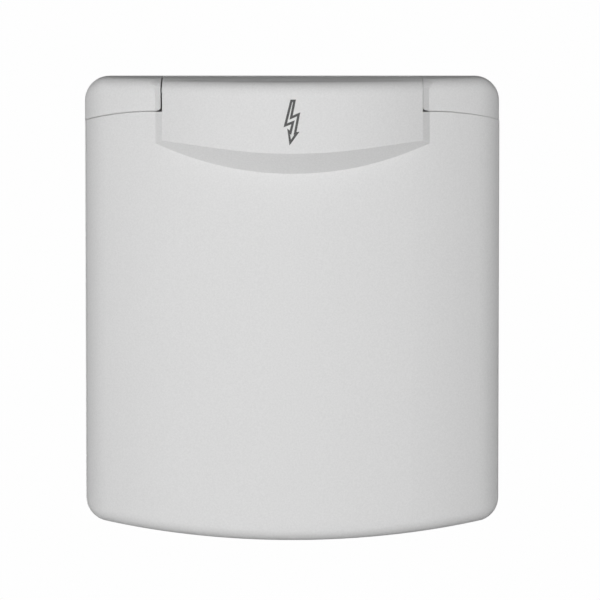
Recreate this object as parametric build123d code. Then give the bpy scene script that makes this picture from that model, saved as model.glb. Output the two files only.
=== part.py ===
from build123d import *
import math
import os

os.makedirs("parts", exist_ok=True)

# Axes: X to the right, Z up, Y into the wall. The wall's outer face is Y = 0, the lid faces -Y.

# Outside form
body_width = 134.0
body_height = 150.0
corner_radius = 8.0
bottom_bow_radius = 320.0
side_draft = 5.0
edge_roll_radius = 4.5
least_inner_roll = 0.3

# Front face, a dome across the width made of three arcs. Each margin is the distance from the
# side where an arc ends, and the face's depth follows from the depth left at the full width.
dome_edge_depth = 4.1
crown_radius = 150.0
crown_margin = 29.0
shoulder_radius = 88.0
shoulder_margin = 7.0
side_roll_radius = 16.0
side_roll_end_angle = 80.0

# Raised tongue with its smile-shaped flank
tongue_height = 6.2
tongue_crown_radius = 85.0
smile_centre_above_top = 28.2
smile_radius = 60.0
smile_slope = 1.0
flank_foot = 43.4
flank_slope = 1.06
tongue_top_drop = 0.4
tongue_roll_radius = 4.2
tongue_back = 10.0
tongue_half_width = 41.2
form_spare_depth = 3.3

# Seam between the lid and the frame's two top corners, measured down from the top edge
seam_drop = 11.75
seam_level_end = 44.0
seam_droop_radius = 105.0
seam_corner_radius = 1.0
seam_gap = 0.28
lid_side_play = 0.2
seam_reach = 72.0

# Walls
flange_thickness = 4.0
lid_skin = 2.4
corner_wall = 2.8
tub_wall = 2.5
cover_wall = 2.2
lid_rear_gap = 0.5

# Hinge
hinge_depth = 16.5
hinge_drop = 5.6
hinge_pin_radius = 1.25
hinge_pin_clearance = 0.06
hinge_pin_length = 12.4
lid_knuckle_radius = 3.8
lid_knuckle_length = 7.0
frame_knuckle_radius = 4.0
frame_knuckle_length = 7.5
hinge_pin_start = 34.8
shoulder_relief_end = 53.0
shoulder_relief_steps = 4

# Wall screws, which come with the wall and are not part of the object
wall_screw_side_margin = 10.0
wall_screw_end_margin = 20.0
wall_screw_radius = 2.1
wall_screw_head_radius = 4.2

# Recess that holds the tilted inlet
tilt = 30.0
seat_y = 36.0
seat_z = 15.0
recess_half_width = 42.0
recess_top = 48.0
recess_floor = 35.0
recess_corner = 6.0

# Seals
wall_gasket_side_margin = 5.0
wall_gasket_top_margin = 10.5
wall_gasket_foot_margin = 8.5
wall_gasket_corner = 6.0
wall_gasket_hole_margin = 5.0
wall_gasket_thickness = 1.5
wall_gasket_screw_clearance = 0.6
seal_margin = 3.0
seal_width = 3.0
seal_depth = 1.0
seal_proud = 2.2
seal_touch_gap = 0.1

# Ribs inside the lid
seal_rib_thickness = 1.6
stiffener_thickness = 1.2
stiffener_height = 1.6
stiffener_pitch_x = 22.0
stiffener_pitch_z = 24.0
stiffener_rows = 3
rib_bite = 0.6

# Finger notch in the lid's lower skirt
notch_width = 40.0
notch_depth = 5.4
notch_height = 14.0

# Magnet and its keeper
magnet_width = 20.0
magnet_height = 6.0
magnet_thickness = 3.0
magnet_above_foot = 12.5
magnet_air_gap = 0.6
magnet_wall = 1.6
keeper_width = 26.0
keeper_height = 9.0
keeper_thickness = 1.2

# Inlet: shroud, flange and rear skirt, measured along its own tilted axis
inlet_flange_size = 56.0
inlet_flange_corner = 6.0
inlet_flange_thickness = 4.0
inlet_gasket_thickness = 1.0
shroud_radius = 22.0
shroud_bore = 19.0
shroud_end = 38.0
shroud_round = 0.8
skirt_radius = 21.6
skirt_end = -8.0
back_hole_radius = 22.2
retaining_lip_start = 7.0
retaining_lip_length = 1.5
retaining_lip_height = 1.5
key_width = 5.0
key_height = 1.8
key_start = 10.0

# Contact insert, contacts and terminals
insert_clearance = 0.1
insert_rear = -24.0
contact_circle_radius = 11.5
line_pin_radius = 2.5
earth_pin_radius = 3.5
pin_tip = 36.0
pin_rear = -12.0
pin_tip_round = 1.6
terminal_front = -6.0
terminal_rear = -22.0
terminal_width = 10.0
terminal_clearance = 0.1
wire_hole_radius = 2.0
terminal_screw_radius = 1.75
terminal_screw_at = -17.0
terminal_screw_reach = 17.6
screw_window_radius = 2.6

# Screws that hold the inlet and the rear cover
inlet_screw_margin = 5.0
cover_screw_x = 38.0
cover_screw_up = 20.0
screw_radius = 1.5
screw_play = 0.2
screw_head_radius = 3.0
screw_head_height = 2.0
screw_bite = 7.0
post_radius = 3.6
post_length = 8.0
slot_width = 0.8
slot_depth = 0.9

# Rear cover
cover_half_width = 33.0
cover_rear = 76.0
cover_seat_low = -32.0
cover_chamfer_y = 62.0
cover_chamfer_z = 30.0
cover_round = 3.0
cover_ear_width = 9.0
cover_ear_thickness = 2.5

# Cable gland under the rear cover
gland_y = 65.0
gland_thread_radius = 8.0
gland_boss_radius = 10.4
gland_boss_height = 5.0
gland_hex_flats = 20.0
gland_collar_height = 5.0
gland_stem_radius = 7.4
gland_stem_length = 8.0
gland_nut_gap = 0.5
gland_nut_length = 15.0
gland_nut_mouth = 5.3
gland_bore = 5.6
gland_seal_outer = 6.4
gland_seal_bore = 4.8
gland_seal_length = 7.0
gland_thread_clearance = 0.05

# Latch over the shroud that keeps the connector in
latch_up = 27.5
latch_out = 12.0
latch_pin_radius = 1.25
latch_pin_clearance = 0.05
latch_barrel_radius = 2.9
latch_half_width = 6.7
latch_spring_room = 2.9
latch_arm_thickness = 2.4
latch_arm_end = 32.0
latch_arm_width = 12.0
latch_rest_gap = 0.3
latch_nose_length = 2.6
latch_lip_height = 1.8
latch_ear_inner = 7.0
latch_ear_outer = 9.6
latch_ear_radius = 3.4
spring_wire_radius = 0.35
spring_coil_radius = 2.1
spring_pitch = 0.75
spring_turns = 3.0

# Values that follow from the ones above
half_width = body_width / 2
half_height = body_height / 2
wall_screw_x = half_width - wall_screw_side_margin
wall_screw_z = half_height - wall_screw_end_margin
crown_end = half_width - crown_margin
shoulder_end = half_width - shoulder_margin
hinge_height = half_height - hinge_drop
seam_height = half_height - seam_drop
smile_centre_height = half_height + smile_centre_above_top
magnet_z = magnet_above_foot - half_height
cos_tilt = math.cos(math.radians(tilt))
sin_tilt = math.sin(math.radians(tilt))
tan_tilt = math.tan(math.radians(tilt))
seat = Plane(origin=(0, seat_y, seat_z), x_dir=(1, 0, 0), z_dir=(0, -cos_tilt, -sin_tilt))
lid_rear = flange_thickness + lid_rear_gap
hinge_sweep_radius = hinge_depth - lid_rear
inlet_face = inlet_gasket_thickness + inlet_flange_thickness
inlet_screw_spot = inlet_flange_size / 2 - inlet_screw_margin
contact_angles = {"line": 30.0, "neutral": 150.0, "earth": 270.0}
insert_radius = shroud_bore - insert_clearance


def save(shape, node):
    export_step(shape, f"parts/{node}.step")
    print(node, "volume", round(shape.volume, 1), "valid", shape.is_valid)


def slab(front, rear):
    # Everything between two depths, given as Y values
    span = 4 * body_height
    return Pos(0, (front + rear) / 2, 0) * Box(span, rear - front, span)


def rod_x(radius, start, end, depth, height):
    # Round bar along X
    middle = Pos((start + end) / 2, -depth, height)
    return middle * Rot(0, 90, 0) * Cylinder(radius, abs(end - start))


def seated_rod(radius, start, end, across=0.0, up=0.0):
    # Round bar along the inlet's tilted axis
    return seat * Pos(across, up, (start + end) / 2) * Cylinder(radius, abs(end - start))


def seated_box(width, height, start, end, across=0.0, up=0.0):
    return seat * Pos(across, up, (start + end) / 2) * Box(width, height, abs(end - start))


def rounded_plate(half_width, low, high, radius, front, rear):
    # Plate with rounded corners that stands parallel to the wall
    outline = Pos(0, (low + high) / 2) * RectangleRounded(2 * half_width, high - low, radius)
    return extrude(Plane.XZ.offset(-rear) * outline, amount=rear - front)


def pair(shape):
    # The shape and its mirror image on the other side of the middle
    return shape + mirror(shape, about=Plane.YZ)


# Outside form

def body_outline(inset=0.0):
    half = body_width / 2 - inset
    top = body_height / 2 - inset
    bow = bottom_bow_radius - inset
    bow_centre = bottom_bow_radius - body_height / 2
    foot = bow_centre - math.sqrt(bow**2 - half**2)
    edge = Polyline((half, foot), (half, top), (-half, top), (-half, foot))
    edge += ThreePointArc((-half, foot), (0, bow_centre - bow), (half, foot))
    face = make_face(edge)
    return fillet(face.vertices(), corner_radius - inset)


def crown_arcs():
    # Radius, centre and the two end angles of each arc, tangent to each other, from the dome's crest
    radius = crown_radius
    centre = (0.0, crown_radius)
    angle = math.asin(crown_end / crown_radius)
    arcs = [(radius, centre, 0.0, angle)]
    for tighter, end in ((shoulder_radius, shoulder_end), (side_roll_radius, None)):
        step = radius - tighter
        centre = (centre[0] + step * math.sin(angle), centre[1] - step * math.cos(angle))
        radius = tighter
        start = angle
        angle = math.radians(side_roll_end_angle) if end is None else math.asin((end - centre[0]) / radius)
        arcs.append((radius, centre, start, angle))
    return arcs


def crown_fall(x):
    # How far the dome has fallen back from its crest at a distance x from the middle
    arcs = crown_arcs()
    passed = sum(x > centre[0] + radius * math.sin(end) for radius, centre, start, end in arcs[:-1])
    radius, centre, start, end = arcs[passed]
    return centre[1] - math.sqrt(radius**2 - (x - centre[0]) ** 2)


face_depth = dome_edge_depth + crown_fall(half_width)
tongue_depth = face_depth + tongue_height
form_depth = tongue_depth + form_spare_depth
flank_foot_depth = face_depth - crown_fall(flank_foot)


def surface_depth(x):
    # Depth of the outside beside the tongue, on its flank or on the dome
    return max(face_depth - crown_fall(x), flank_foot_depth + (flank_foot - x) / flank_slope)


def seam_level(x):
    # Height of the seam, level at first and then drooping
    run = max(x - seam_level_end, 0)
    return seam_height - seam_droop_radius + math.sqrt(seam_droop_radius**2 - run**2)


def crown_block(inset=0.0):
    edge = Curve()
    for sign in (-1, 1):
        for radius, centre, start, end in crown_arcs():
            radius -= inset
            run = [
                (sign * (centre[0] + radius * math.sin(a)), centre[1] - radius * math.cos(a) - face_depth)
                for a in (start, (start + end) / 2, end)
            ]
            edge += ThreePointArc(*run)
    far_x = abs(run[2][0])
    edge += Polyline((far_x, run[2][1]), (far_x, lid_rear), (-far_x, lid_rear), (-far_x, run[2][1]))
    return extrude(make_face(edge), amount=body_height, both=True)


def is_front_edge(edge):
    box = edge.bounding_box()
    runs_along_z = box.size.X < 0.5 and box.size.Y < 0.5
    on_crown_join = runs_along_z and abs(edge.center().X) < shoulder_end + 1
    return box.max.Y < -lid_skin / 2 and not on_crown_join


def body_form(inset=0.0):
    block = extrude(Plane.XZ * body_outline(inset), amount=form_depth, taper=side_draft)
    block = block & crown_block(inset)
    front = [e for e in block.edges() if is_front_edge(e)]
    return fillet(front, max(edge_roll_radius - inset, least_inner_roll))


def tongue_form(inset=0.0):
    # A leaning cone cuts the smile, a wedge the two side flanks, a large drum the crowned face
    lean = inset * math.hypot(1, smile_slope)
    cone = Plane(origin=(0, 0, smile_centre_height), z_dir=(0, -1, 0)) * Cone(
        smile_radius + smile_slope * face_depth - lean,
        smile_radius - smile_slope * (form_depth - face_depth) - lean,
        form_depth,
        align=(Align.CENTER, Align.CENTER, Align.MIN),
    )
    side = inset * math.hypot(1, flank_slope)
    root = flank_foot + flank_slope * (flank_foot_depth - tongue_back) - side
    tip = flank_foot - flank_slope * (form_depth - flank_foot_depth) - side
    back = -tongue_back
    wedge = make_face(Polyline((root, back), (tip, -form_depth), (-tip, -form_depth), (-root, back), close=True))
    wedge = extrude(wedge, amount=body_height, both=True)
    drum = Pos(0, tongue_crown_radius - tongue_depth, 0) * Cylinder(tongue_crown_radius - inset, 4 * body_height)
    top = body_height / 2 - tongue_top_drop - inset / math.cos(math.radians(side_draft))
    fall = form_depth * math.tan(math.radians(side_draft))
    roof = make_face(Polyline((0, 0), (0, top), (-form_depth, top - fall), (-form_depth, 0), close=True))
    roof = extrude(Plane.YZ * roof, amount=body_width, both=True)
    block = cone & wedge & drum & roof
    top_edge = block.edges().filter_by(lambda e: e.bounding_box().size.X > tongue_half_width)
    top_edge = top_edge.filter_by(lambda e: e.center().Z > top - fall - 1 and e.center().Y < -face_depth / 2)
    return fillet(top_edge, max(tongue_roll_radius - inset, least_inner_roll))


def outer_form(inset=0.0):
    return body_form(inset) + tongue_form(inset)


def corner_zone(gap=0.0):
    # The two top corners that belong to the frame, grown by a gap for cutting the lid
    side = tongue_half_width + seam_gap - gap
    low = seam_height - gap
    radius = seam_droop_radius - gap
    centre_z = seam_height - seam_droop_radius
    end = math.asin((seam_reach - seam_level_end) / seam_droop_radius)

    def on_droop(angle):
        return (seam_level_end + radius * math.sin(angle), centre_z + radius * math.cos(angle))

    first_x = max(side, seam_level_end)
    start = math.asin((first_x - seam_level_end) / radius)
    first = on_droop(start)
    far_x, far_z = on_droop(end)
    edge = ThreePointArc(first, on_droop((start + end) / 2), (far_x, far_z))
    edge += Polyline((far_x, far_z), (far_x, body_height), (side, body_height), (side, first[1]))
    if side < seam_level_end:
        edge += Line((side, low), first)
    face = make_face(edge)
    rounding = seam_corner_radius + gap
    if rounding > 0:
        corner = face.vertices().sort_by_distance((side, low, 0))[0]
        face = fillet(corner, rounding)
    return pair(extrude(Plane.XZ * face, amount=body_width, both=True))


# Recess in the frame

def seat_point(along, up):
    # Point of the inlet's own axes, as Y and Z
    return (seat_y - along * cos_tilt - up * sin_tilt, seat_z - along * sin_tilt + up * cos_tilt)


def recess_form(wall, front):
    top = recess_top + wall
    back_top_y = seat_y + (wall - (top - seat_z) * sin_tilt) / cos_tilt
    heel = seat_point(-wall, -recess_floor - wall)
    mouth_low = heel[1] - (heel[0] - front) * tan_tilt
    section = Polyline((front, top), (back_top_y, top), heel, (front, mouth_low), close=True)
    block = extrude(Plane.YZ * make_face(section), amount=recess_half_width + wall, both=True)
    rounded = block.edges().filter_by(lambda e: e.bounding_box().max.Y > front + 1)
    return fillet(rounded, recess_corner + wall)


def mouth_low(wall=0.0):
    heel = seat_point(-wall, -recess_floor - wall)
    return heel[1] - (heel[0] + flange_thickness) * tan_tilt


def screw_spots():
    return [(x, z) for x in (-wall_screw_x, wall_screw_x) for z in (-wall_screw_z, wall_screw_z)]


def inlet_screw_spots():
    return [(x, up) for x in (-inlet_screw_spot, inlet_screw_spot) for up in (-inlet_screw_spot, inlet_screw_spot)]


def cover_screw_spots():
    return [(x, up) for x in (-cover_screw_x, cover_screw_x) for up in (-cover_screw_up, cover_screw_up)]


def seal_ring(inner_margin, width, front, rear):
    outer = inner_margin + width
    ring = rounded_plate(
        recess_half_width + outer, mouth_low() - outer, recess_top + outer, recess_corner + outer, front, rear
    )
    return ring - rounded_plate(
        recess_half_width + inner_margin,
        mouth_low() - inner_margin,
        recess_top + inner_margin,
        recess_corner + inner_margin,
        front - 1,
        rear + 1,
    )


def wall_gasket():
    margin = wall_gasket_hole_margin
    ring = rounded_plate(
        half_width - wall_gasket_side_margin,
        wall_gasket_foot_margin - half_height,
        half_height - wall_gasket_top_margin,
        wall_gasket_corner,
        -wall_gasket_thickness,
        0,
    )
    ring -= rounded_plate(
        recess_half_width + margin,
        mouth_low() - margin,
        recess_top + margin,
        recess_corner + margin,
        -2 * wall_gasket_thickness,
        wall_gasket_thickness,
    )
    for x, z in screw_spots():
        ring -= Pos(x, 0, z) * Rot(90, 0, 0) * Cylinder(
            wall_screw_radius + wall_gasket_screw_clearance, 4 * wall_gasket_thickness
        )
    return ring


def wall_screw_hole(x, z):
    # Clearance hole with a countersink at the front
    sink = wall_screw_head_radius - wall_screw_radius
    hole = Cylinder(wall_screw_radius, 4 * flange_thickness)
    cone = Pos(0, 0, flange_thickness - sink / 2) * Cone(wall_screw_radius, wall_screw_head_radius, sink)
    return Plane(origin=(x, 0, z), z_dir=(0, -1, 0)) * (hole + cone)


def frame_corners():
    # Hollow top corners with a knuckle for each hinge pin
    shell = outer_form() & corner_zone()
    hollow = outer_form(corner_wall) & corner_zone(-corner_wall)
    inner = tongue_half_width + seam_gap
    knuckle = rod_x(frame_knuckle_radius, inner + 1, inner + frame_knuckle_length, hinge_depth, hinge_height)
    shell = shell - hollow + (pair(knuckle) & shell)
    hole = rod_x(hinge_pin_radius, hinge_pin_start, hinge_pin_start + hinge_pin_length, hinge_depth, hinge_height)
    return shell - pair(hole)


def wall_frame():
    flange = body_form() & slab(-flange_thickness, 0)
    hollow = outer_form(corner_wall) & corner_zone(-corner_wall)
    frame = flange - hollow + frame_corners() + recess_form(tub_wall, -flange_thickness / 2)
    for x, up in inlet_screw_spots() + cover_screw_spots():
        frame += seated_rod(post_radius, -tub_wall / 2, -tub_wall - post_length, x, up)
    frame -= recess_form(0, -flange_thickness - 1)
    frame -= seated_rod(back_hole_radius, -2 * tub_wall, 1)
    for x, up in inlet_screw_spots():
        frame -= seated_rod(screw_radius, 1, -tub_wall - screw_bite, x, up)
    for x, up in cover_screw_spots():
        frame -= seated_rod(screw_radius, -tub_wall - post_length - 1, -tub_wall, x, up)
    for x, z in screw_spots():
        frame -= wall_screw_hole(x, z)
    frame -= seal_ring(seal_margin, seal_width, -flange_thickness - 1, -flange_thickness + seal_depth)
    keeper_middle = -flange_thickness + keeper_thickness / 2
    frame -= Pos(0, keeper_middle, magnet_z) * Box(keeper_width, keeper_thickness, keeper_height)
    return frame - wall_gasket()


def hinge_pin(sign):
    end = hinge_pin_start + hinge_pin_length
    pin = rod_x(hinge_pin_radius, sign * hinge_pin_start, sign * end, hinge_depth, hinge_height)
    return chamfer(pin.edges(), hinge_pin_radius / 5)


# Lid

def lid_block(inset, wall):
    return outer_form(inset) - corner_zone(seam_gap + wall)


def lid_ribs():
    # One tall ring that presses on the door seal, and a low grid that follows the dome
    seal_front = -flange_thickness - seal_proud - seal_touch_gap
    middle = seal_margin + seal_width / 2 - seal_rib_thickness / 2
    ring = seal_ring(middle, seal_rib_thickness, -form_depth, seal_front)
    width = 2 * (recess_half_width + middle)
    height = recess_top - mouth_low() + 2 * middle
    at = Pos(0, -form_depth / 2, (recess_top + mouth_low()) / 2)
    grid = Part()
    for row in range(-(stiffener_rows // 2), stiffener_rows // 2 + 1):
        grid += at * Pos(row * stiffener_pitch_x, 0, 0) * Box(stiffener_thickness, form_depth, height)
        grid += at * Pos(0, 0, row * stiffener_pitch_z) * Box(width, form_depth, stiffener_thickness)
    return ring + (grid - outer_form(lid_skin + stiffener_height))


def magnet_socket():
    front = form_depth - lid_rear - magnet_air_gap
    at = Pos(0, -lid_rear - magnet_air_gap - front / 2, magnet_z)
    return at * Box(magnet_width + 2 * magnet_wall, front, magnet_height + 2 * magnet_wall)


def lid_magnet():
    at = Pos(0, -lid_rear - magnet_air_gap / 2 - magnet_thickness / 2, magnet_z)
    block = Box(magnet_width, magnet_thickness, magnet_height)
    return Pos(lid_side_play, 0, 0) * at * chamfer(block.edges(), magnet_thickness / 10)


def magnet_pocket():
    rear = -lid_rear + 1
    front = -lid_rear - magnet_air_gap / 2 - magnet_thickness
    return Pos(0, (front + rear) / 2, magnet_z) * Box(magnet_width, rear - front, magnet_height)


def rear_sweep_cut():
    # Rounds the tongue's rear top edge about the hinge line, so that it turns past the flange
    above = Pos(0, -hinge_depth + body_height / 2, hinge_height + body_height / 2) * Box(
        2 * body_width, body_height, body_height
    )
    return above - rod_x(hinge_sweep_radius, -body_width, body_width, hinge_depth, hinge_height)


def shoulder_relief():
    # Turned about the hinge line, just outside the farthest reach of the corner's lower edge
    step = (shoulder_relief_end - flank_foot) / shoulder_relief_steps
    stations = [tongue_half_width] + [flank_foot + i * step for i in range(shoulder_relief_steps + 1)]
    reach = [
        (x, math.hypot(surface_depth(x) - hinge_depth, hinge_height - seam_level(x)) + seam_gap) for x in stations
    ]
    profile = Polyline(*reach, (shoulder_relief_end, 0), (tongue_half_width, 0), close=True)
    turned = revolve(make_face(profile), Axis.X)
    return pair(Pos(0, -hinge_depth, hinge_height) * turned)


def lid_shell():
    outer = lid_block(0, 0)
    inner = lid_block(lid_skin, lid_skin)
    skin_cover = lid_block(rib_bite, rib_bite)
    start = tongue_half_width - lid_knuckle_length
    knuckle = rod_x(lid_knuckle_radius, start, tongue_half_width, hinge_depth, hinge_height)
    shell = outer - inner
    shell += (lid_ribs() + magnet_socket()) & skin_cover
    shell += pair(knuckle) & outer
    shell &= slab(-form_depth, -lid_rear)
    shell -= rear_sweep_cut()
    shell -= shoulder_relief()
    shell -= magnet_pocket()
    hole = rod_x(hinge_pin_radius + hinge_pin_clearance, start - 1, body_width, hinge_depth, hinge_height)
    shell -= pair(hole) & slab(-hinge_depth - lid_knuckle_radius, 0)
    notch_at = Pos(0, -lid_rear - notch_depth / 2, -body_height / 2)
    notch = Box(notch_width, notch_depth, notch_height)
    notch = fillet(notch.edges().filter_by(Axis.Z).group_by(Axis.Y)[0], notch_depth / 2)
    shell -= notch_at * notch
    return Pos(lid_side_play, 0, 0) * shell


# Inlet on its tilted seat

def latch_ear(sign):
    width = latch_ear_outer - latch_ear_inner
    across = sign * (latch_ear_outer + latch_ear_inner) / 2
    plate = seated_box(width, 2 * latch_ear_radius, inlet_face - 1, latch_out, across, latch_up)
    end = seat * Pos(across, latch_up, latch_out) * Rot(0, 90, 0) * Cylinder(latch_ear_radius, width)
    return plate + end


def latch_axis_rod(radius, start, end):
    return seat * Pos((start + end) / 2, latch_up, latch_out) * Rot(0, 90, 0) * Cylinder(radius, end - start)


def inlet_body():
    flange = Pos(0, 0, inlet_gasket_thickness) * extrude(
        RectangleRounded(inlet_flange_size, inlet_flange_size, inlet_flange_corner), amount=inlet_flange_thickness
    )
    body = seat * flange
    body += seated_rod(shroud_radius, inlet_gasket_thickness, shroud_end)
    body += seated_rod(skirt_radius, skirt_end, inlet_face)
    body -= seated_rod(shroud_bore, skirt_end - 1, shroud_end + 1)
    rim = body.edges().filter_by(GeomType.CIRCLE).sort_by_distance(seat.origin + seat.z_dir * shroud_end)[:2]
    body = fillet(rim, shroud_round)
    lip_end = retaining_lip_start + retaining_lip_length
    lip = seated_rod(shroud_bore + rib_bite, retaining_lip_start, lip_end)
    lip -= seated_rod(shroud_bore - retaining_lip_height, retaining_lip_start - 1, lip_end + 1)
    body += lip
    key_up = -shroud_bore + key_height / 2 - rib_bite / 2
    body += seated_box(key_width, key_height + rib_bite, key_start, shroud_end - shroud_round, 0, key_up)
    body += latch_ear(1) + latch_ear(-1)
    body -= latch_axis_rod(latch_pin_radius, -latch_ear_outer - 1, latch_ear_outer + 1)
    for x, up in inlet_screw_spots():
        body -= seated_rod(screw_radius + screw_play, 0, inlet_face + 1, x, up)
    return body


def inlet_gasket():
    sheet = extrude(
        RectangleRounded(inlet_flange_size, inlet_flange_size, inlet_flange_corner), amount=inlet_gasket_thickness
    )
    gasket = seat * sheet - seated_rod(back_hole_radius, -1, inlet_gasket_thickness + 1)
    for x, up in inlet_screw_spots():
        gasket -= seated_rod(screw_radius + screw_play, -1, inlet_gasket_thickness + 1, x, up)
    return gasket


def slotted_screw(length):
    # Pan head on a plain shank, head upward from the origin
    head = Pos(0, 0, screw_head_height / 2) * Cylinder(screw_head_radius, screw_head_height)
    head = fillet(head.edges().group_by(Axis.Z)[-1], screw_head_height / 3)
    head -= Pos(0, 0, screw_head_height) * Box(2 * screw_head_radius + 1, slot_width, 2 * slot_depth)
    return head + Pos(0, 0, -length / 2) * Cylinder(screw_radius, length)


def inlet_screws():
    length = inlet_face + tub_wall + screw_bite - 1
    return Compound([seat * Pos(x, up, inlet_face) * slotted_screw(length) for x, up in inlet_screw_spots()])


def cover_screws():
    head_at = -tub_wall - post_length - cover_ear_thickness
    length = cover_ear_thickness + screw_bite
    spots = cover_screw_spots()
    return Compound([seat * Pos(x, up, head_at) * Rot(180, 0, 0) * slotted_screw(length) for x, up in spots])


def contact_place(angle):
    # Local axes of one contact: X points away from the middle
    turn = math.radians(angle)
    return seat * Pos(contact_circle_radius * math.cos(turn), contact_circle_radius * math.sin(turn), 0) * Rot(
        0, 0, angle
    )


def span(radius, start, end):
    return Pos(0, 0, (start + end) / 2) * Cylinder(radius, abs(end - start))


def pin_radius(name):
    return earth_pin_radius if name == "earth" else line_pin_radius


def contact_insert():
    insert = seated_rod(insert_radius, insert_rear, retaining_lip_start)
    for name, angle in contact_angles.items():
        place = contact_place(angle)
        size = terminal_width + 2 * terminal_clearance
        depth = terminal_front - insert_rear + 1
        insert -= place * Pos(0, 0, terminal_front - depth / 2) * Box(size, size, depth)
        insert -= place * span(pin_radius(name), terminal_front - 1, retaining_lip_start + 1)
        window = Pos(insert_radius / 2, 0, terminal_screw_at) * Rot(0, 90, 0)
        insert -= place * window * Cylinder(screw_window_radius, insert_radius)
    return insert


def contact_pin(name):
    radius = pin_radius(name)
    pin = span(radius, pin_rear, pin_tip)
    pin = fillet(pin.edges().group_by(Axis.Z)[-1], pin_tip_round)
    return contact_place(contact_angles[name]) * pin


def terminal(name):
    length = terminal_front - terminal_rear
    block = Pos(0, 0, terminal_front - length / 2) * Box(terminal_width, terminal_width, length)
    block = chamfer(block.edges().filter_by(Axis.Z), terminal_width / 20)
    block -= span(pin_radius(name), pin_rear, terminal_front + 1)
    block -= span(wire_hole_radius, terminal_rear - 1, pin_rear)
    thread = Pos(terminal_width / 4 + 1, 0, terminal_screw_at) * Rot(0, 90, 0)
    block -= thread * Cylinder(terminal_screw_radius, terminal_width / 2 + 2)
    return contact_place(contact_angles[name]) * block


def terminal_screw():
    start = wire_hole_radius + 0.4
    end = terminal_screw_reach - contact_circle_radius
    screw = Pos((start + end) / 2, 0, terminal_screw_at) * Rot(0, 90, 0) * Cylinder(terminal_screw_radius, end - start)
    slot_at = Pos(end, 0, terminal_screw_at)
    return screw - slot_at * Box(2 * slot_depth, slot_width, 4 * terminal_screw_radius)


def terminal_screws():
    return Compound([contact_place(angle) * terminal_screw() for angle in contact_angles.values()])


# Rear cover and its cable gland

def cover_low():
    return seat_point(-tub_wall, cover_seat_low)[1]


def cover_block():
    low_y = seat_point(-tub_wall, cover_seat_low)[0]
    top = recess_top
    top_y = seat_y + (tub_wall - (top - seat_z) * sin_tilt) / cos_tilt
    section = Polyline(
        (low_y, cover_low()),
        (cover_rear, cover_low()),
        (cover_rear, cover_chamfer_z),
        (cover_chamfer_y, top),
        (top_y, top),
        close=True,
    )
    block = extrude(Plane.YZ * make_face(section), amount=cover_half_width, both=True)
    seat_face = block.faces().sort_by_distance(seat.origin)[0]
    seat_edges = seat_face.edges()
    rounded = [e for e in block.edges() if not any(e.is_same(s) for s in seat_edges)]
    return fillet(rounded, cover_round)


def rear_cover():
    block = cover_block()
    seat_face = block.faces().sort_by_distance(seat.origin)[0]
    cover = offset(block, amount=-cover_wall, openings=[seat_face])
    boss_at = Pos(0, gland_y, cover_low() + gland_boss_height / 2)
    cover += boss_at * Cylinder(gland_boss_radius, gland_boss_height) & block
    cover -= Pos(0, gland_y, cover_low()) * Cylinder(gland_thread_radius, 4 * gland_boss_height)
    ear_front = -tub_wall - post_length
    for sign in (-1, 1):
        for up in (-cover_screw_up, cover_screw_up):
            inner = cover_half_width - cover_wall
            outer = cover_screw_x + cover_ear_width / 2
            across = sign * (inner + outer) / 2
            ear = seated_box(outer - inner, cover_ear_width, ear_front - cover_ear_thickness, ear_front, across, up)
            tips = ear.edges().filter_by(lambda e: abs(e.length - cover_ear_thickness) < 0.01)
            tips = sorted(tips, key=lambda e: -sign * e.center().X)[:2]
            cover += fillet(tips, cover_ear_width / 3)
            cover -= seated_rod(screw_radius + screw_play, ear_front - 5, ear_front + 1, sign * cover_screw_x, up)
    return cover


def hexagon(length):
    return extrude(RegularPolygon(gland_hex_flats / 2, 6, major_radius=False), amount=-length)


def gland_body():
    low = cover_low()
    body = Pos(0, 0, gland_boss_height / 2) * Cylinder(gland_thread_radius, gland_boss_height)
    body += hexagon(gland_collar_height)
    stem = Pos(0, 0, -gland_collar_height - gland_stem_length / 2) * Cylinder(gland_stem_radius, gland_stem_length)
    body += stem
    body -= Cylinder(gland_bore, 6 * gland_stem_length)
    pocket = Pos(0, 0, -gland_collar_height - gland_stem_length) * Cylinder(gland_seal_outer, gland_seal_length)
    return Pos(0, gland_y, low) * (body - pocket)


def gland_seal():
    middle = -gland_collar_height - gland_stem_length
    ring = Pos(0, 0, middle) * (
        Cylinder(gland_seal_outer, gland_seal_length) - Cylinder(gland_seal_bore, gland_seal_length + 1)
    )
    return Pos(0, gland_y, cover_low()) * ring


def gland_nut():
    start = -gland_collar_height - gland_nut_gap
    nut = Pos(0, 0, start) * hexagon(gland_nut_length)
    cap = Pos(0, 0, start - gland_nut_length / 2) * Cylinder(gland_hex_flats / 2 * 1.1, gland_nut_length)
    nut &= fillet(cap.edges().group_by(Axis.Z)[0], gland_nut_length / 3)
    thread_end = -gland_collar_height - gland_stem_length
    room = Pos(0, 0, thread_end) * Cylinder(gland_stem_radius + gland_thread_clearance, 2 * gland_stem_length)
    seal_end = thread_end - gland_seal_length / 2
    room &= Pos(0, 0, seal_end + gland_stem_length * 2) * Cylinder(gland_thread_radius, gland_stem_length * 4)
    nut -= room
    nut -= Pos(0, 0, start) * Cylinder(gland_nut_mouth, 4 * gland_nut_length)
    return Pos(0, gland_y, cover_low()) * nut


# Latch that keeps the connector in the shroud

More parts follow.
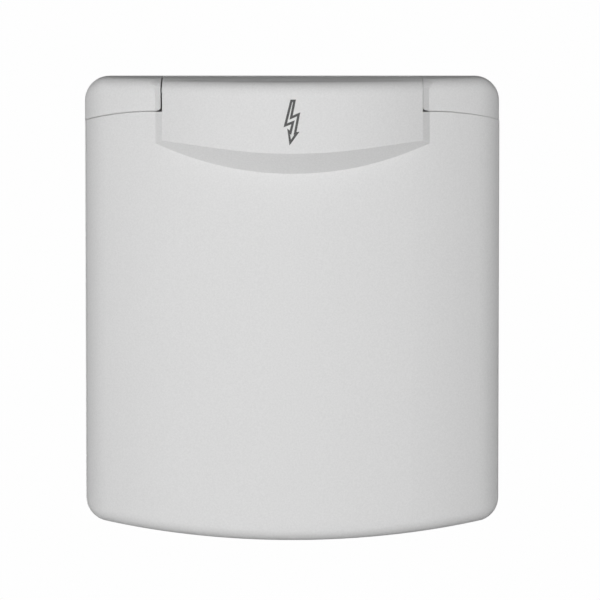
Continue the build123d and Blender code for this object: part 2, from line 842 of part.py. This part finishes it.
def plug_latch():
    low = latch_up + latch_barrel_radius - latch_arm_thickness
    barrel = latch_axis_rod(latch_barrel_radius, -latch_half_width, latch_half_width - latch_spring_room)
    width = latch_arm_width - latch_spring_room / 2
    across = -latch_spring_room / 4
    arm_up = low + latch_arm_thickness / 2
    arm = seated_box(width, latch_arm_thickness, latch_out, latch_arm_end, across, arm_up)
    nose_start = latch_arm_end - latch_nose_length
    nose_low = shroud_radius + latch_rest_gap
    nose = seated_box(width, low - nose_low, nose_start, latch_arm_end, across, (low + nose_low) / 2)
    lip_up = low + latch_arm_thickness + latch_lip_height / 2
    lip = seated_box(width, latch_lip_height, nose_start, latch_arm_end, across, lip_up)
    latch = barrel + arm + nose + lip
    spring_side = latch_half_width - latch_spring_room
    room = seated_box(
        2 * latch_spring_room,
        8 * latch_barrel_radius,
        latch_out - 2 * latch_barrel_radius,
        latch_out + spring_coil_radius + 1,
        spring_side + latch_spring_room,
        latch_up,
    )
    latch -= room
    return latch - latch_axis_rod(latch_pin_radius + latch_pin_clearance, -body_width, body_width)


def latch_pin():
    pin = latch_axis_rod(latch_pin_radius, -latch_ear_outer, latch_ear_outer)
    return chamfer(pin.edges(), latch_pin_radius / 5)


def latch_spring():
    # Coil round the latch pin, beside the latch's barrel
    height = spring_pitch * spring_turns
    path = Helix(pitch=spring_pitch, height=height, radius=spring_coil_radius)
    wire = sweep((path ^ 0) * Circle(spring_wire_radius), path=path)
    start = latch_half_width - latch_spring_room + (latch_spring_room - height) / 2
    return seat * Pos(start, latch_up, latch_out) * Rot(0, 90, 0) * wire


def door_seal():
    ring = seal_ring(seal_margin, seal_width, -flange_thickness - seal_proud, -flange_thickness + seal_depth)
    lip = ring.edges().filter_by(lambda e: e.center().Y < -flange_thickness - seal_proud + 0.01)
    return fillet(lip, seal_width / 4)


def keeper_plate():
    at = Pos(0, -flange_thickness + keeper_thickness / 2, magnet_z)
    return at * Box(keeper_width, keeper_thickness, keeper_height)


# All pieces

save(wall_frame(), "wall_frame")
save(wall_gasket(), "wall_gasket")
save(door_seal(), "door_seal")
save(keeper_plate(), "keeper_plate")
save(hinge_pin(-1), "hinge_pin_left")
save(hinge_pin(1), "hinge_pin_right")
save(lid_shell(), "lid_shell")
save(lid_magnet(), "lid_magnet")
save(inlet_body(), "inlet_body")
save(inlet_gasket(), "inlet_gasket")
save(inlet_screws(), "inlet_screws")
save(contact_insert(), "contact_insert")
for contact in contact_angles:
    save(contact_pin(contact), f"{contact}_pin")
    save(terminal(contact), f"{contact}_terminal")
save(terminal_screws(), "terminal_screws")
save(rear_cover(), "rear_cover")
save(cover_screws(), "rear_cover_screws")
save(gland_body(), "gland_body")
save(gland_seal(), "gland_seal")
save(gland_nut(), "gland_nut")
save(plug_latch(), "plug_latch")
save(latch_pin(), "latch_pin")
save(latch_spring(), "latch_spring")
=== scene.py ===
import bpy
import bmesh
import math
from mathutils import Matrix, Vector
from mathutils.bvhtree import BVHTree


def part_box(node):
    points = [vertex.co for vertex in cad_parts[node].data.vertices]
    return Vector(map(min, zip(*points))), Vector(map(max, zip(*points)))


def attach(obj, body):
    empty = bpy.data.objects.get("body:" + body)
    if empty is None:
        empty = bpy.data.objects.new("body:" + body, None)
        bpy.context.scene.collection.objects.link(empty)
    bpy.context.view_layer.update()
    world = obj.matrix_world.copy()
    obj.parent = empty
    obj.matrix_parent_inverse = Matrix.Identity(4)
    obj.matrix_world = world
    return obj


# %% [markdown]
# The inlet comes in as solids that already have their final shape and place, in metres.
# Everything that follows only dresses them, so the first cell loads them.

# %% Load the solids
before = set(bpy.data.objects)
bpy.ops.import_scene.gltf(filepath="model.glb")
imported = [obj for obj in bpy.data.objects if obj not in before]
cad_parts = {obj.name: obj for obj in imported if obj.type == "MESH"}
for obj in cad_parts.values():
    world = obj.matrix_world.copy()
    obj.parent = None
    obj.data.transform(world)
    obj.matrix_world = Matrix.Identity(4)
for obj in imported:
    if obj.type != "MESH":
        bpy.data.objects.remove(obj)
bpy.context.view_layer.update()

# %% [markdown]
# Colours are written as the hex values that a colour picker shows, which are sRGB. Blender's
# shaders want linear light, so one function turns the first into the second. Its numbers are those
# of the sRGB standard: a straight piece for the darkest values and a power curve above them.

# %% Turn sRGB hex colours to linear
SRGB_KNEE = 0.04045
SRGB_SLOPE = 12.92
SRGB_OFFSET = 0.055
SRGB_POWER = 2.4


def linear(hex_colour):
    values = [int(hex_colour[i:i + 2], 16) / 255 for i in (1, 3, 5)]
    light = [
        v / SRGB_SLOPE if v <= SRGB_KNEE else ((v + SRGB_OFFSET) / (1 + SRGB_OFFSET)) ** SRGB_POWER
        for v in values
    ]
    return (*light, 1.0)


print("mid grey in linear light:", [round(v, 3) for v in linear("#808080")[:3]])

# %% [markdown]
# A material is a small tree of nodes. This one helper adds any node, sets what it is told to set,
# and links its inputs, so each material below reads from top to bottom as a recipe. A name that
# isn't a setting of the node itself is taken as one of its sockets.

# %% One function that adds a node


def add(tree, kind, settings=None, links=None):
    node = tree.nodes.new(kind)

    def socket(name):
        if isinstance(name, int):
            return node.inputs[name]
        return next(s for s in node.inputs if s.name == name and s.enabled)

    for name, value in (settings or {}).items():
        if hasattr(node, name):
            setattr(node, name, value)
        else:
            socket(name).default_value = value
    for name, source in (links or {}).items():
        if hasattr(source, "outputs"):
            source = next(s for s in source.outputs if s.enabled)
        tree.links.new(source, socket(name))
    return node


# %% [markdown]
# Each material starts from an empty tree and ends on every solid that is made of it. Its patterns
# are sized in millimetres: a noise texture of scale 1 has features about one metre wide, so the
# scale is one over the size of a feature in metres.

# %% Start a material, size its patterns and put it on the solids
MM = 0.001
BEVEL_SAMPLES = 4


def new_tree(name):
    material = bpy.data.materials.new(name)
    material.use_nodes = True
    material.node_tree.nodes.clear()
    return material, material.node_tree


def per_metre(size_mm):
    return 1.0 / (size_mm * MM)


def dress(nodes, material):
    for node in nodes:
        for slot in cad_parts[node].material_slots:
            slot.material = material
    print(material.name, "on", len(nodes), "solids")


print("noise scale for features of 1 mm:", per_metre(1.0))

# %% [markdown]
# The lid and the frame are injection moulded in ASA, a cousin of ABS that doesn't yellow in the
# sun, in a light neutral grey. The mould was spark eroded, which leaves a grain of fine pits
# about a third of a millimetre apart. To the eye this is a dull, even surface whose highlights
# spread wide, with a speckle that only shows close up. A bump from fine noise gives the pits, a
# much larger and very weak noise gives the slight unevenness of moulded plastic, and a bevel
# node rounds the edges by a fraction of a millimetre, as any mould does. The pits also swallow
# part of every reflection, so the specular level is well below that of polished plastic.

# %% Moulded light grey ASA
# The real grain is about as fine as one pixel of the picture, so it is drawn coarser
ASA_GRAIN_MM = 0.55
ASA_CLOUD_MM = 28.0
ASA_EDGE_MM = 0.25
ASA_PIT_DEPTH_MM = 0.04

asa, tree = new_tree("moulded light grey ASA")
where = add(tree, "ShaderNodeTexCoord")
grain = add(tree, "ShaderNodeTexNoise",
            {"Scale": per_metre(ASA_GRAIN_MM), "Detail": 3.0, "Roughness": 0.65},
            {"Vector": where.outputs["Object"]})
cloud = add(tree, "ShaderNodeTexNoise", {"Scale": per_metre(ASA_CLOUD_MM), "Detail": 4.0},
            {"Vector": where.outputs["Object"]})
speckle = add(tree, "ShaderNodeMapRange",
              {"From Min": 0.35, "From Max": 0.65, "To Min": 0.0, "To Max": 1.0}, {"Value": grain})
tint = add(tree, "ShaderNodeMix",
           {"data_type": "RGBA", "A": linear("#D8D8D8"), "B": linear("#DEDEDE")},
           {"Factor": speckle})
gloss = add(tree, "ShaderNodeMapRange", {"To Min": 0.66, "To Max": 0.76}, {"Value": cloud})
edge = add(tree, "ShaderNodeBevel", {"samples": BEVEL_SAMPLES, "Radius": ASA_EDGE_MM * MM})
pits = add(tree, "ShaderNodeBump", {"Strength": 0.35, "Distance": ASA_PIT_DEPTH_MM * MM},
           {"Height": grain, "Normal": edge})
shader = add(tree, "ShaderNodeBsdfPrincipled", {"IOR": 1.52, "Specular IOR Level": 0.2},
             {"Base Color": tint, "Roughness": gloss, "Normal": pits})
add(tree, "ShaderNodeOutputMaterial", {}, {"Surface": shader})
dress(["wall_frame", "lid_shell"], asa)

# %% [markdown]
# Behind the lid everything is made for use, not for looks. The inlet and its latch are glass
# filled polyamide in the blue that marks 230 volts. It comes from a polished mould, so it is
# smoother than the lid, and the filler shows as faint cloudy flow marks.

# %% Blue polyamide of the shroud and the latch
FLOW_MARK_MM = 9.0
FILLER_MM = 0.4
FILLER_DEPTH_MM = 0.02
POLYAMIDE_EDGE_MM = 0.3

blue, tree = new_tree("moulded blue polyamide")
where = add(tree, "ShaderNodeTexCoord")
flow = add(tree, "ShaderNodeTexNoise",
           {"Scale": per_metre(FLOW_MARK_MM), "Detail": 6.0, "Distortion": 1.5},
           {"Vector": where.outputs["Object"]})
filler = add(tree, "ShaderNodeTexNoise", {"Scale": per_metre(FILLER_MM), "Detail": 2.0},
             {"Vector": where.outputs["Object"]})
tint = add(tree, "ShaderNodeMix",
           {"data_type": "RGBA", "A": linear("#1A4F9E"), "B": linear("#2460B4")},
           {"Factor": flow})
gloss = add(tree, "ShaderNodeMapRange", {"To Min": 0.26, "To Max": 0.42}, {"Value": flow})
edge = add(tree, "ShaderNodeBevel", {"samples": BEVEL_SAMPLES, "Radius": POLYAMIDE_EDGE_MM * MM})
skin = add(tree, "ShaderNodeBump", {"Strength": 0.15, "Distance": FILLER_DEPTH_MM * MM},
           {"Height": filler, "Normal": edge})
shader = add(tree, "ShaderNodeBsdfPrincipled", {"IOR": 1.53},
             {"Base Color": tint, "Roughness": gloss, "Normal": skin})
add(tree, "ShaderNodeOutputMaterial", {}, {"Surface": shader})
dress(["inlet_body", "plug_latch"], blue)

# %% [markdown]
# The block that carries the pins is a dark polyamide, nearly black. The rear cover and the gland
# are the same plastic in mid grey, straight from an etched mould. The two differ only in colour,
# grain and roughness, so one loop makes both. To the eye the first is satin and the second dull.

# %% Dark and grey polyamide
POLYAMIDE_CLOUD_MM = 15.0
ETCH_DEPTH_MM = 0.05
ROUGHNESS_SPREAD = 0.08

for name, dark, pale, grain_mm, roughness, nodes in (
    ("moulded dark polyamide", "#1C1D1F", "#26282A", 0.5, 0.45, ["contact_insert"]),
    ("etched grey polyamide", "#6E7173", "#7B7E80", 0.8, 0.60,
     ["rear_cover", "gland_body", "gland_nut"]),
):
    plastic, tree = new_tree(name)
    where = add(tree, "ShaderNodeTexCoord")
    grain = add(tree, "ShaderNodeTexNoise", {"Scale": per_metre(grain_mm), "Detail": 4.0},
                {"Vector": where.outputs["Object"]})
    cloud = add(tree, "ShaderNodeTexNoise", {"Scale": per_metre(POLYAMIDE_CLOUD_MM), "Detail": 4.0},
                {"Vector": where.outputs["Object"]})
    tint = add(tree, "ShaderNodeMix", {"data_type": "RGBA", "A": linear(dark), "B": linear(pale)},
               {"Factor": cloud})
    gloss = add(tree, "ShaderNodeMapRange",
                {"To Min": roughness - ROUGHNESS_SPREAD, "To Max": roughness + ROUGHNESS_SPREAD},
                {"Value": cloud})
    edge = add(tree, "ShaderNodeBevel", {"samples": BEVEL_SAMPLES, "Radius": POLYAMIDE_EDGE_MM * MM})
    skin = add(tree, "ShaderNodeBump", {"Strength": 0.4, "Distance": ETCH_DEPTH_MM * MM},
               {"Height": grain, "Normal": edge})
    shader = add(tree, "ShaderNodeBsdfPrincipled", {"IOR": 1.53},
                 {"Base Color": tint, "Roughness": gloss, "Normal": skin})
    add(tree, "ShaderNodeOutputMaterial", {}, {"Surface": shader})
    dress(nodes, plastic)

# %% [markdown]
# The seals are EPDM, a black rubber for outdoor use. Extruded rubber has a dull bloom of fine
# dust on it, lighter in patches, and hardly any highlight.

# %% EPDM rubber of the seals
BLOOM_MM = 6.0
RUBBER_GRAIN_MM = 0.3
RUBBER_GRAIN_DEPTH_MM = 0.03

rubber, tree = new_tree("extruded EPDM rubber")
where = add(tree, "ShaderNodeTexCoord")
bloom = add(tree, "ShaderNodeTexNoise",
            {"Scale": per_metre(BLOOM_MM), "Detail": 6.0, "Roughness": 0.7},
            {"Vector": where.outputs["Object"]})
grain = add(tree, "ShaderNodeTexNoise", {"Scale": per_metre(RUBBER_GRAIN_MM), "Detail": 2.0},
            {"Vector": where.outputs["Object"]})
tint = add(tree, "ShaderNodeMix",
           {"data_type": "RGBA", "A": linear("#161617"), "B": linear("#2C2C2D")},
           {"Factor": bloom})
gloss = add(tree, "ShaderNodeMapRange", {"To Min": 0.70, "To Max": 0.90}, {"Value": bloom})
skin = add(tree, "ShaderNodeBump", {"Strength": 0.4, "Distance": RUBBER_GRAIN_DEPTH_MM * MM},
           {"Height": grain})
shader = add(tree, "ShaderNodeBsdfPrincipled", {"IOR": 1.50},
             {"Base Color": tint, "Roughness": gloss, "Normal": skin})
add(tree, "ShaderNodeOutputMaterial", {}, {"Surface": shader})
dress(["wall_gasket", "door_seal", "inlet_gasket", "gland_seal"], rubber)

# %% [markdown]
# Four metals are left: nickel plated brass on the pins, bare machined brass in the terminals, zinc
# plated steel on the screws and hinge pins, and the bright nickel of the magnet. A metal's colour
# is its reflection, so each has full metallic and the default IOR, and they differ in tint and in
# how rough the surface is. Noise that is squeezed along one axis gives streaks across it, like the
# fine marks of turning. The real marks are too fine to show, so they are drawn coarser.

# %% Metals of the contacts, screws and magnet
MARK_MM = 1.6
MARK_SQUEEZE = 6.0
MARK_DEPTH_MM = 0.02

for name, dull, bright, low, high, nodes in (
    ("nickel plated brass", "#B9B4A8", "#D2CEC4", 0.18, 0.32,
     ["line_pin", "neutral_pin", "earth_pin"]),
    ("machined brass", "#B8954F", "#D1B06A", 0.28, 0.42,
     ["line_terminal", "neutral_terminal", "earth_terminal"]),
    ("zinc plated steel", "#A9ABAD", "#C4C6C8", 0.30, 0.45,
     ["terminal_screws", "inlet_screws", "rear_cover_screws", "keeper_plate", "hinge_pin_left",
      "hinge_pin_right", "latch_pin", "latch_spring"]),
    ("nickel plated magnet", "#BDBBB6", "#D4D2CE", 0.15, 0.25, ["lid_magnet"]),
):
    metal, tree = new_tree(name)
    where = add(tree, "ShaderNodeTexCoord")
    squeezed = add(tree, "ShaderNodeMapping", {"Scale": (1.0, MARK_SQUEEZE, 1.0)},
                   {"Vector": where.outputs["Object"]})
    marks = add(tree, "ShaderNodeTexNoise", {"Scale": per_metre(MARK_MM), "Detail": 5.0},
                {"Vector": squeezed})
    tint = add(tree, "ShaderNodeMix", {"data_type": "RGBA", "A": linear(dull), "B": linear(bright)},
               {"Factor": marks})
    gloss = add(tree, "ShaderNodeMapRange", {"To Min": low, "To Max": high}, {"Value": marks})
    skin = add(tree, "ShaderNodeBump", {"Strength": 0.1, "Distance": MARK_DEPTH_MM * MM},
               {"Height": marks})
    shader = add(tree, "ShaderNodeBsdfPrincipled", {"Metallic": 1.0},
                 {"Base Color": tint, "Roughness": gloss, "Normal": skin})
    add(tree, "ShaderNodeOutputMaterial", {}, {"Surface": shader})
    dress(nodes, metal)

# %% [markdown]
# A few things aren't solids of the part: the printed arrow, two thin lips, the floor, the camera
# and the lamps. They all come into the scene the same way, as data with an object that holds it,
# and a mesh is first built with BMesh, whose faces are made from lists of corners.

# %% Put new things into the scene


def add_object(name, data):
    thing = bpy.data.objects.new(name, data)
    bpy.context.collection.objects.link(thing)
    return thing


def add_mesh(name, mesh):
    data = bpy.data.meshes.new(name)
    mesh.to_mesh(data)
    mesh.free()
    print(name, "faces:", len(data.polygons))
    return add_object(name, data)


# %% [markdown]
# The only mark on the lid is the lightning arrow of mains voltage, pad printed as a thin black
# outline in the middle of the raised tongue. The outline is drawn as a closed path. Each point is
# moved in and out along the mean of its two sides' normals, which gives a stroke of even width.
# At a very sharp point that would reach too far, so the reach has a limit.

# %% Outline of the lightning arrow
STROKE_MM = 0.76
SHARPEST_COSINE = 0.4
ARROW_MM = [
    (-0.11, 65.95), (0.85, 65.95), (-0.19, 60.71), (2.17, 61.75), (1.04, 55.79), (1.63, 55.85),
    (-0.47, 52.93), (-0.97, 56.51), (-0.41, 56.00), (0.41, 59.27), (-2.01, 58.30),
]


def offset_path(path, distance):
    moved = []
    for i, here in enumerate(path):
        before = (here - path[i - 1]).normalized()
        after = (path[(i + 1) % len(path)] - here).normalized()
        normal_before = Vector((-before.y, before.x))
        normal_after = Vector((-after.y, after.x))
        mean = (normal_before + normal_after).normalized()
        reach = distance / max(mean.dot(normal_before), SHARPEST_COSINE)
        moved.append(here + mean * reach)
    return moved


path = [Vector((x * MM, z * MM)) for x, z in ARROW_MM]
outlines = [offset_path(path, side * STROKE_MM * MM / 2) for side in (1, -1)]
print("arrow points:", len(path))

# %% [markdown]
# The points are then laid on the tongue's face, which is part of a drum with the radius that the
# part gives it. Ink has no thickness to speak of, but a mesh needs some distance to lie clear of
# the plastic, so the arrow stands two hundredths of a millimetre proud.

# %% The arrow on the curved face
TONGUE_DEPTH = -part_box("lid_shell")[0][1]
TONGUE_CROWN = 85.0 * MM
INK_LIFT = 0.02 * MM


def on_tongue(point):
    fall = point.x * point.x / (2 * TONGUE_CROWN)
    return Vector((point.x, -TONGUE_DEPTH + fall - INK_LIFT, point.y))


ink_mesh = bmesh.new()
outer, inner = [[ink_mesh.verts.new(on_tongue(point)) for point in line] for line in outlines]
for i in range(len(path)):
    j = (i + 1) % len(path)
    ink_mesh.faces.new((outer[i], outer[j], inner[j], inner[i]))
bmesh.ops.recalc_face_normals(ink_mesh, faces=ink_mesh.faces)
arrow = add_mesh("lightning_arrow", ink_mesh)

# %% [markdown]
# Pad printing ink dries to a satin film. Over the grain of the lid it breaks up a little at its
# edges and in the pits, so its black is slightly mottled and not quite full.

# %% Pad printing ink
MOTTLE_MM = 0.35

ink, tree = new_tree("black pad printing ink")
where = add(tree, "ShaderNodeTexCoord")
mottle = add(tree, "ShaderNodeTexNoise", {"Scale": per_metre(MOTTLE_MM), "Detail": 3.0},
             {"Vector": where.outputs["Object"]})
tint = add(tree, "ShaderNodeMix",
           {"data_type": "RGBA", "A": linear("#141414"), "B": linear("#2A2A2A")},
           {"Factor": mottle})
gloss = add(tree, "ShaderNodeMapRange", {"To Min": 0.40, "To Max": 0.60}, {"Value": mottle})
shader = add(tree, "ShaderNodeBsdfPrincipled", {"IOR": 1.50},
             {"Base Color": tint, "Roughness": gloss})
add(tree, "ShaderNodeOutputMaterial", {}, {"Surface": shader})
arrow.data.materials.append(ink)
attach(arrow, "lid")
print(ink.name, "on", arrow.name)

# %% [markdown]
# Under each top corner of the frame the seam would look straight into the hollow of the lid. A
# thin lip on the corner's lower edge closes most of that gap a little behind the surface, so the
# seam shows as a fine grey line. The lip follows the seam, which is level next to the tongue and
# then droops along an arc. A ray from the front finds the depth of the curved surface at each of
# the lip's stations. The seam's three sizes are those of the part.

# %% Where the seam and the surface are
SEAM_HEIGHT = 63.25 * MM
SEAM_LEVEL_END = 44.0 * MM
SEAM_DROOP_RADIUS = 105.0 * MM
RAY_START_Y = -0.1

frame_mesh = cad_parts["wall_frame"].data
frame_skin = BVHTree.FromPolygons(
    [vertex.co for vertex in frame_mesh.vertices],
    [polygon.vertices for polygon in frame_mesh.polygons],
)


def seam_level(x):
    run = max(x - SEAM_LEVEL_END, 0.0)
    return SEAM_HEIGHT - SEAM_DROOP_RADIUS + math.sqrt(SEAM_DROOP_RADIUS ** 2 - run ** 2)


def surface_depth(x, z):
    return frame_skin.ray_cast(Vector((x, RAY_START_Y, z)), Vector((0, 1, 0)))[0].y


print("faces that the rays can meet:", len(frame_mesh.polygons))

# %% [markdown]
# Each lip is a thin bar: a rectangle is set at each station and joined to the next one, and the
# two ends are closed. On a real moulding a lip would be part of the frame, so these two get the
# frame's plastic and stay with the inlet when the lid swings up.

# %% Lips behind the seam
LIP_START = 42.8 * MM
LIP_END = 66.0 * MM
LIP_STATIONS = 48
LIP_RECESS = 0.26 * MM
LIP_DEPTH = 1.20 * MM
LIP_HEIGHT = 0.20 * MM
LIP_ROOT = 0.10 * MM


def lip_section(x, side):
    level = seam_level(x)
    surface = surface_depth(side * x, level + 2 * LIP_ROOT)
    front, rear = surface + LIP_RECESS, surface + LIP_RECESS + LIP_DEPTH
    low, high = level - LIP_HEIGHT, level + LIP_ROOT
    return [(side * x, y, z) for y, z in ((front, low), (front, high), (rear, high), (rear, low))]


stations = [LIP_START + (LIP_END - LIP_START) * i / LIP_STATIONS for i in range(LIP_STATIONS + 1)]
for side, name in ((-1, "seam_lip_left"), (1, "seam_lip_right")):
    lip_mesh = bmesh.new()
    rings = [[lip_mesh.verts.new(point) for point in lip_section(x, side)] for x in stations]
    for one, two in zip(rings, rings[1:]):
        for i in range(len(one)):
            lip_mesh.faces.new((one[i], one[i - 1], two[i - 1], two[i]))
    lip_mesh.faces.new(rings[0])
    lip_mesh.faces.new(rings[-1])
    bmesh.ops.recalc_face_normals(lip_mesh, faces=lip_mesh.faces)
    lip = add_mesh(name, lip_mesh)
    lip.data.materials.append(asa)
    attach(lip, "inlet")

# %% [markdown]
# The object is photographed as a wall fitting, so it hangs free over a pale floor. The camera
# stands nine tenths of a metre away, straight in front and a little above, with a long lens,
# which keeps the sides nearly parallel. The lens is worked out from how many pixels of the picture
# one millimetre of the object takes up.

# %% Camera
CAMERA_DISTANCE = 0.90
CAMERA_AZIMUTH = math.radians(0.0)
CAMERA_ELEVATION = math.radians(2.5)
CAMERA_NEAREST = 0.05
SENSOR_WIDTH_MM = 36.0
IMAGE_WIDTH_PX = 600
PX_PER_MM = 3.08
AIM = Vector((2.58 * MM, 0.0, 2.34 * MM))


def facing(direction):
    return direction.to_track_quat("-Z", "Y").to_euler()


camera_data = bpy.data.cameras.new("camera")
camera_data.sensor_width = SENSOR_WIDTH_MM
camera_data.lens = PX_PER_MM * CAMERA_DISTANCE / MM * SENSOR_WIDTH_MM / IMAGE_WIDTH_PX
camera_data.clip_start = CAMERA_NEAREST
camera = add_object("camera", camera_data)
toward = Vector((
    math.sin(CAMERA_AZIMUTH) * math.cos(CAMERA_ELEVATION),
    -math.cos(CAMERA_AZIMUTH) * math.cos(CAMERA_ELEVATION),
    math.sin(CAMERA_ELEVATION),
))
camera.location = AIM + toward * CAMERA_DISTANCE
camera.rotation_euler = facing(-toward)
bpy.context.scene.camera = camera
print("lens in mm:", round(camera_data.lens, 1))

# %% [markdown]
# The floor is a large pale plane. The rays that see it from the camera, in a reflection or
# through something clear find it white, and every other ray meets its real diffuse colour, so it
# still catches the object's shadow and throws some light up at the object. The world does the
# same for the background, so metal and glossy plastic mirror the white that the camera sees.

# %% Rays that see the background
BACKGROUND_WHITE = "#FEFEFE"


def sees_background(tree):
    rays = add(tree, "ShaderNodeLightPath").outputs
    seen = add(tree, "ShaderNodeMath", {"operation": "MAXIMUM"},
               {0: rays["Is Camera Ray"], 1: rays["Is Glossy Ray"]})
    return add(tree, "ShaderNodeMath", {"operation": "MAXIMUM"},
               {0: seen, 1: rays["Is Transmission Ray"]})


print("background:", BACKGROUND_WHITE)

# %% [markdown]
# The floor lies well below the object. Its far edge is inside the picture, but the floor and the
# background are the same white there, so that the edge doesn't show.

# %% Pale floor
FLOOR_Z = -0.26
FLOOR_HALF = 3.0

pale, tree = new_tree("pale floor")
diffuse = add(tree, "ShaderNodeBsdfDiffuse", {"Color": linear("#C8C8C8")})
white = add(tree, "ShaderNodeEmission", {"Color": linear(BACKGROUND_WHITE), "Strength": 1.0})
mix = add(tree, "ShaderNodeMixShader", {}, {0: sees_background(tree), 1: diffuse, 2: white})
add(tree, "ShaderNodeOutputMaterial", {}, {"Surface": mix})

floor_mesh = bmesh.new()
corners = [(x * FLOOR_HALF, y * FLOOR_HALF, FLOOR_Z) for x, y in ((-1, -1), (1, -1), (1, 1), (-1, 1))]
floor_mesh.faces.new([floor_mesh.verts.new(corner) for corner in corners])
floor = add_mesh("floor", floor_mesh)
floor.data.materials.append(pale)

# %% [markdown]
# The world is white where it is seen. As a source of light it is very weak, so that the lamps
# alone shape the object and the shadows are filled only a little.

# %% World
WORLD_FILL = 0.03

world = bpy.data.worlds.new("studio")
bpy.context.scene.world = world
world.use_nodes = True
tree = world.node_tree
tree.nodes.clear()
dim = add(tree, "ShaderNodeBackground", {"Color": linear("#FFFFFF"), "Strength": WORLD_FILL})
bright = add(tree, "ShaderNodeBackground", {"Color": linear(BACKGROUND_WHITE), "Strength": 1.0})
mix = add(tree, "ShaderNodeMixShader", {}, {0: sees_background(tree), 1: dim, 2: bright})
add(tree, "ShaderNodeOutputWorld", {}, {"Surface": mix})
print("world:", world.name, "with a fill of", WORLD_FILL)

# %% [markdown]
# The light is that of three large soft boxes at about the same distance. The strongest stands in
# front and a little high, one far to the left, and the weakest as far to the right. The two outer
# boxes keep the rolled sides of the lid nearly as bright as its middle, and the left side stays
# the brighter one. No lamp hangs above the object, so the rolled top edge is the darkest part.

# %% Lamps
SOFT_BOX_SIZE = 0.9

for name, place, power in (
    ("front", (0.0, -1.50, 0.10), 14.2),
    ("left", (-1.15, -0.96, 0.0), 8.7),
    ("right", (1.15, -0.96, 0.0), 5.1),
):
    lamp_data = bpy.data.lights.new(name, "AREA")
    lamp_data.shape = "SQUARE"
    lamp_data.size = SOFT_BOX_SIZE
    lamp_data.energy = power
    lamp = add_object(name, lamp_data)
    lamp.location = place
    lamp.rotation_euler = facing(-Vector(place))
    print(name, power, "W")

# %% [markdown]
# The view transform is plain sRGB, so the colours written above come out as written.

# %% Finish
bpy.context.scene.view_settings.view_transform = "Standard"
